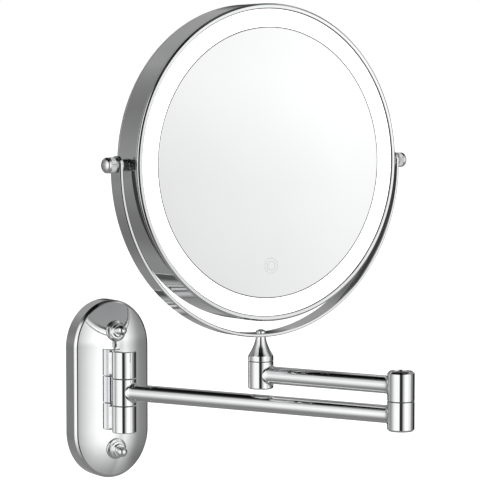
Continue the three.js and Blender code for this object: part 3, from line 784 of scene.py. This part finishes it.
def build_rim():
    band = rounded([
        (RIM_INNER, -BAND_HALF), (RIM_RADIUS, -BAND_HALF, 0.12), (RIM_RADIUS, BAND_HALF, 0.12),
        (RIM_INNER, BAND_HALF),
    ], closed=True)
    piece("rim_shell", turned(band, AROUND_LARGE, "y", closed=True), HEAD, "head",
          ["rim_band"], CHROME)
    front = rounded(flipped_y(bezel_profile(DIFFUSER_OUTER + GAP)), closed=True, steps=9)
    piece("front_ring", turned(front, AROUND_LARGE, "y", closed=True), HEAD, "head",
          ["front_bezel"], CHROME)
    rear = rounded(bezel_profile(REAR_GLASS_RADIUS + GAP), closed=True, steps=9)
    piece("rear_ring", turned(rear, AROUND_LARGE, "y", closed=True), HEAD, "head",
          ["rear_bezel"], CHROME)


def build_faces():
    back = GLASS_FRONT + GLASS_THICKNESS
    glass = rounded([(0, GLASS_FRONT), (GLASS_RADIUS, GLASS_FRONT, 0.35), (GLASS_RADIUS, back), (0, back)])
    piece("shaving_glass", turned(glass, AROUND_LARGE, "y"), HEAD, "head",
          ["front_mirror"], GLASS)
    inner = GLASS_RADIUS + 0.5
    ring = rounded([
        (inner, GLASS_FRONT, 0.15), (inner, back),
        (DIFFUSER_OUTER, back), (DIFFUSER_OUTER, GLASS_FRONT, 0.15),
    ], closed=True)
    glow = piece("glow_ring", turned(ring, AROUND_LARGE, "y", closed=True), HEAD, "head",
                 ["light_diffuser"], OPAL)
    glow.visible_glossy = False
    proud = GLASS_FRONT + 0.12
    for name, low, high, seal_material in (
            ("glass_seal", GLASS_RADIUS + 0.04, inner - 0.02, GREY_SEAL),
            ("bezel_seal", DIFFUSER_OUTER + 0.02, DIFFUSER_OUTER + GAP - 0.02, RUBBER)):
        seal = [(low, proud), (low, back), (high, back), (high, proud)]
        piece(name, turned(seal, AROUND_LARGE, "y", closed=True), HEAD, "head", [], seal_material)
    edge, thickness = HEAD_HALF_DEPTH - 1.3, 2.2
    steps = 24
    hollow = []
    for i in range(steps + 1):
        share = i / steps
        hollow.append((REAR_GLASS_RADIUS * share, edge - REAR_GLASS_HOLLOW * (1 - share * share)))
    rear = hollow + [(REAR_GLASS_RADIUS, edge - thickness), (0, edge - REAR_GLASS_HOLLOW - thickness)]
    piece("magnifying_glass_disc", turned(rear, AROUND_LARGE, "y"), HEAD, "head",
          ["rear_mirror"], REAR_GLASS)


def build_icon():
    """The touch mark on the glass: a plain ring with a small ring in it, a hair above the surface."""
    proud = GLASS_FRONT - 0.03
    foot = proud + 0.05
    rings = []
    for inner, outer in ((4.85, 5.25), (2.75, 3.15)):
        flat = [(inner, foot), (inner, proud), (outer, proud), (outer, foot)]
        rings.append(turned(flat, AROUND_SMALL, "y", closed=True))
    mark = placed(joined(*rings), Matrix.Translation((ICON_SIDE, 0, -ICON_DROP)))
    piece("touch_mark", mark, HEAD, "head", [], ETCH)


def make_knob():
    """A friction knob: collar, knurled barrel, groove and domed end."""
    start = YOKE_RADIUS + GAP
    ridges, ridge_depth = 30, 0.28
    segments = ridges * 6
    foot, lip = 4.4, 4.75
    groove = KNOB_END - 3.9
    crown = groove + 1.15
    soft = 0.3

    def row(radius, along):
        return loop(radius, along, segments, "x")

    def knurl(turn):
        wave = 0.5 - 0.5 * math.cos(turn * ridges)
        return KNOB_RADIUS - ridge_depth * wave ** 2

    rows = [row(0, start), row(foot, start), row(foot, start + 0.9), row(lip, start + 1.15)]
    rows += [row(knurl, x) for x in (start + 1.4, start + 1.6, groove - 0.5, groove - 0.3)]
    end = [(lip, 0), (4.6, 0.15), (4.6, 0.5), (lip, 0.65), (KNOB_RADIUS - 0.08, 0.85), (KNOB_RADIUS, 1.05)]
    rows += [row(radius, groove + along) for radius, along in end]
    for i in range(1, 9):
        turn = math.radians(10 * i)
        radius = (KNOB_RADIUS - soft) * math.cos(turn) + soft * math.cos(turn) ** 0.3
        rows.append(row(radius, crown + (KNOB_END - crown) * math.sin(turn)))
    rows.append(row(0, KNOB_END))
    return lofted(rows)


def make_boss():
    """A threaded boss between the rim and the strap."""
    end = YOKE_RADIUS - YOKE_THICKNESS - 1.2
    start = RIM_RADIUS + 0.9
    flange, core, crest = 4.2, 3.1, 3.9
    profile = [(0, RIM_RADIUS - 0.6), (flange, RIM_RADIUS - 0.6), (flange, RIM_RADIUS + 0.6),
               (3.4, RIM_RADIUS + 0.8)]
    turns = 4
    pitch = (end - start) / turns
    for i in range(turns):
        foot = start + i * pitch
        profile += [(core, foot), (core, foot + 0.2 * pitch), (crest, foot + 0.45 * pitch),
                    (crest, foot + 0.65 * pitch), (core, foot + 0.9 * pitch)]
    profile += [(core, end), (0, end)]
    return turned(profile, AROUND_SMALL, "x")


def make_collar():
    """A thin friction collar round the knob's foot."""
    low, high = YOKE_RADIUS + GAP + 0.05, YOKE_RADIUS + GAP + 1.0
    inner, outer = 4.3, 4.85
    profile = [(inner, low), (outer, low, 0.15), (outer, high, 0.15), (inner, high)]
    return turned(rounded(profile, closed=True), AROUND_SMALL, "x", closed=True)


def build_sides():
    for side, place in ((1, "right"), (-1, "left")):
        turn = Matrix.Identity(4) if side > 0 else Matrix.Rotation(math.pi, 4, "Z")
        piece(f"threaded_boss_{place}", placed(make_boss(), turn), HEAD, "head",
              [f"side_boss_{place}"], DARK)
        piece(f"{place}_knob_collar", placed(make_collar(), turn), HEAD, f"{place}_knob", [], DARK)
        piece(f"{place}_thumb_knob", placed(make_knob(), turn), HEAD, f"{place}_knob",
              [f"{place}_knob"], CHROME, SHARP_DETAIL)


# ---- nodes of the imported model: what isn't in this table is steel ----

LIGHT_NODES = ("reflector_tray", "led_board")
NYLON_NODES = ("yoke_bush_left", "yoke_bush_right", "hinge_washer_top", "hinge_washer_bottom",
               "elbow_washer", "pivot_washer")
FINISHES = {
    "touch_sensor": BOARD,
    "control_board": BOARD,
    "battery_pack": WRAP,
    **dict.fromkeys(LIGHT_NODES, WHITE),
    **dict.fromkeys(NYLON_NODES, NYLON),
}


build_wall()
build_lower_arm()
build_upper_arm()
build_yoke()
build_rim()
build_faces()
build_icon()
build_sides()
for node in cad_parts.values():
    node.data.materials.clear()
    node.data.materials.append(FINISHES.get(node.name, STEEL))
# The inside of the light isn't reflected in the arms, as it isn't in the reference.
for name in LIGHT_NODES:
    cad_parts[name].visible_glossy = False

# ---- studio: a light tent, painted by direction ----

# The camera's place is in metres, its yaw and pitch in degrees and its lens in millimetres.
CAMERA_PLACE = (-0.7166, -1.3182, 0.1986)
CAMERA_YAW = 32.2
CAMERA_PITCH = -3.65
CAMERA_LENS = 161.25

# Brightness round the horizon, by the angle to the right of the camera as the mirror sees it. A colour
# ramp holds 32 stops at most, and this has all of them.
TENT_AROUND = (
    (-180, 0.05), (-150, 0.05), (-125, 0.2), (-108, 0.3), (-96, 0.36), (-85, 0.52), (-70, 0.84),
    (-58, 1.12), (-19, 1.15), (-13, 0.03), (6, 0.03), (9, 0.28), (13, 0.38), (17, 0.64), (26, 0.94),
    (36, 1.2), (46, 1.3), (55, 1.22), (62, 1.08), (67.5, 0.84), (71, 0.95), (74, 1.06), (80, 0.85),
    (86, 0.6), (91, 0.4), (96, 0.3), (104, 0.25), (112, 0.2), (118, 0.03), (146, 0.03), (156, 0.1),
    (180, 0.05),
)
# The same for what is high up.
TENT_HIGH = (
    (-180, 0.5), (-162, 0.3), (-148, 0.05), (-86, 0.05), (-72, 0.35), (-52, 0.5), (-42, 0.04), (26, 0.04),
    (36, 0.7), (50, 1.1), (100, 1.0), (118, 0.5), (140, 0.35), (180, 0.5),
)
# The elevations, in degrees, between which the high tent takes over.
HIGH_FROM, HIGH_TO = 33, 43
# One grey far below the horizon, and the elevations between which it fades out.
LOW_GREY = 0.85
LOW_FROM, LOW_TO = -55, -28
# One grey on the side away from the camera, both above and below the horizon. It fades in between these
# elevations, and between these shares of a turn to either side of the camera.
BACK_GREY = 0.42
BACK_UP_FROM, BACK_UP_TO = 10, 18
BACK_ROUND_FROM, BACK_ROUND_TO = 0.33, 0.38
# Share of that brightness by elevation.
TENT_UP = (
    (-90, 0.28), (-50, 0.29), (-40, 0.43), (-30, 0.58), (-18, 0.87), (-8, 0.97), (-5.2, 0.9), (-2, 0.98),
    (0.5, 1.1), (5, 1.05), (15, 0.9), (29, 0.82), (46, 0.72), (52, 0.3), (58, 0.06), (90, 0.04),
)


def grey(level):
    return level, level, level, 1


def value_ramp(tree, value, stops, low, high):
    """A ramp through stops of (place, grey level), where value runs from 0 at low to 1 at high."""
    ramp = tree.nodes.new("ShaderNodeValToRGB")
    elements = ramp.color_ramp.elements
    while len(elements) > 1:
        elements.remove(elements[-1])
    for i, (place, level) in enumerate(stops):
        element = elements[0] if i == 0 else elements.new((place - low) / (high - low))
        element.position = (place - low) / (high - low)
        element.color = grey(level)
    tree.links.new(value, ramp.inputs["Fac"])
    return ramp.outputs["Color"]


def maths(tree, operation, first, second=None):
    """A maths node. Each value may be a number or an output."""
    node = tree.nodes.new("ShaderNodeMath")
    node.operation = operation
    for socket, value in zip(node.inputs, (first, second)):
        if value is None:
            continue
        if isinstance(value, (int, float)):
            socket.default_value = value
        else:
            tree.links.new(value, socket)
    return node.outputs[0]


def blended(tree, first, second, share):
    """Mixes two colours by a share. The second may be an output or a colour."""
    node = tree.nodes.new("ShaderNodeMix")
    node.data_type = "RGBA"
    sockets = {socket.identifier: socket for socket in node.inputs}
    tree.links.new(share, sockets["Factor_Float"])
    tree.links.new(first, sockets["A_Color"])
    if isinstance(second, tuple):
        sockets["B_Color"].default_value = second
    else:
        tree.links.new(second, sockets["B_Color"])
    return next(socket for socket in node.outputs if socket.identifier == "Result_Color")


def make_world():
    """The tent lights the part and shows in its reflections. The camera itself sees white."""
    world = bpy.data.worlds.new("light_tent")
    bpy.context.scene.world = world
    world.use_nodes = True
    tree = world.node_tree
    tree.nodes.clear()
    output = tree.nodes.new("ShaderNodeOutputWorld")
    background = tree.nodes.new("ShaderNodeBackground")
    coordinates = tree.nodes.new("ShaderNodeTexCoord")
    parts = tree.nodes.new("ShaderNodeSeparateXYZ")
    tree.links.new(coordinates.outputs["Generated"], parts.inputs[0])
    around = maths(tree, "ARCTAN2", parts.outputs["Y"], parts.outputs["X"])
    towards_camera = math.radians(90 + CAMERA_YAW)
    turned_round = maths(tree, "ADD", around, towards_camera + 3 * math.pi)
    share = maths(tree, "FRACT", maths(tree, "DIVIDE", turned_round, 2 * math.pi))
    elevation = maths(tree, "ARCSINE", parts.outputs["Z"])
    height = maths(tree, "ADD", maths(tree, "DIVIDE", elevation, math.pi), 0.5)
    level = value_ramp(tree, share, TENT_AROUND, -180, 180)
    high = value_ramp(tree, share, TENT_HIGH, -180, 180)
    upward = value_ramp(tree, height, TENT_UP, -90, 90)
    below = ranged(tree, elevation, 1, 0, math.radians(LOW_FROM), math.radians(LOW_TO))
    above = ranged(tree, elevation, 0, 1, math.radians(HIGH_FROM), math.radians(HIGH_TO))
    tilted = maths(tree, "ABSOLUTE", elevation)
    raised = ranged(tree, tilted, 0, 1, math.radians(BACK_UP_FROM), math.radians(BACK_UP_TO))
    sideways = maths(tree, "ABSOLUTE", maths(tree, "SUBTRACT", share, 0.5))
    round_back = ranged(tree, sideways, 0, 1, BACK_ROUND_FROM, BACK_ROUND_TO)
    behind = maths(tree, "MULTIPLY", raised, round_back)
    level = blended(tree, level, grey(BACK_GREY), behind)
    mixed = blended(tree, blended(tree, level, grey(LOW_GREY), below), high, above)
    whole = tree.nodes.new("ShaderNodeVectorMath")
    whole.operation = "MULTIPLY"
    tree.links.new(mixed, whole.inputs[0])
    tree.links.new(upward, whole.inputs[1])
    tree.links.new(whole.outputs[0], background.inputs["Color"])
    backdrop = tree.nodes.new("ShaderNodeBackground")
    backdrop.inputs["Color"].default_value = (1, 1, 1, 1)
    seen = tree.nodes.new("ShaderNodeLightPath")
    choice = tree.nodes.new("ShaderNodeMixShader")
    tree.links.new(seen.outputs["Is Camera Ray"], choice.inputs[0])
    tree.links.new(background.outputs[0], choice.inputs[1])
    tree.links.new(backdrop.outputs[0], choice.inputs[2])
    tree.links.new(choice.outputs[0], output.inputs["Surface"])


def make_floor():
    """A wide white floor below the part. It doesn't show in reflections."""
    half, drop = 60, 0.25
    mesh = bpy.data.meshes.new("floor")
    height = cad_low.z - drop
    corners = [(x * half, y * half, height) for x, y in ((-1, -1), (1, -1), (1, 1), (-1, 1))]
    mesh.from_pydata(corners, [], [(0, 1, 2, 3)])
    material, tree, shader = new_material("pale_floor", Roughness=0.9)
    mottle = two_colours(tree, noise(tree, 2, 3), (0.93, 0.93, 0.93), (0.95, 0.95, 0.95))
    tree.links.new(mottle, shader.inputs["Base Color"])
    shader.inputs["Emission Color"].default_value = (1, 1, 1, 1)
    shader.inputs["Emission Strength"].default_value = 1.0
    mesh.materials.append(material)
    floor = bpy.data.objects.new("floor", mesh)
    bpy.context.scene.collection.objects.link(floor)
    floor.visible_glossy = False


def make_lamp():
    """A large soft lamp overhead."""
    lamp = bpy.data.lights.new("soft_overhead", "AREA")
    lamp.size = 2.5
    lamp.energy = 30
    obj = bpy.data.objects.new("soft_overhead", lamp)
    obj.location = (-0.4, -0.6, 2.4)
    bpy.context.scene.collection.objects.link(obj)
    obj.visible_glossy = False


def make_camera():
    camera = bpy.data.cameras.new("camera")
    camera.sensor_width = 36
    camera.lens = CAMERA_LENS
    camera.clip_start = 0.01
    camera.clip_end = 100
    obj = bpy.data.objects.new("camera", camera)
    yaw, pitch = math.radians(CAMERA_YAW), math.radians(CAMERA_PITCH)
    towards = Vector((math.sin(yaw) * math.cos(pitch), math.cos(yaw) * math.cos(pitch), math.sin(pitch)))
    obj.location = CAMERA_PLACE
    obj.rotation_mode = "QUATERNION"
    obj.rotation_quaternion = towards.to_track_quat("-Z", "Y")
    bpy.context.scene.collection.objects.link(obj)
    bpy.context.scene.camera = obj


make_world()
make_floor()
make_lamp()
make_camera()
bpy.context.scene.view_settings.view_transform = "Standard"
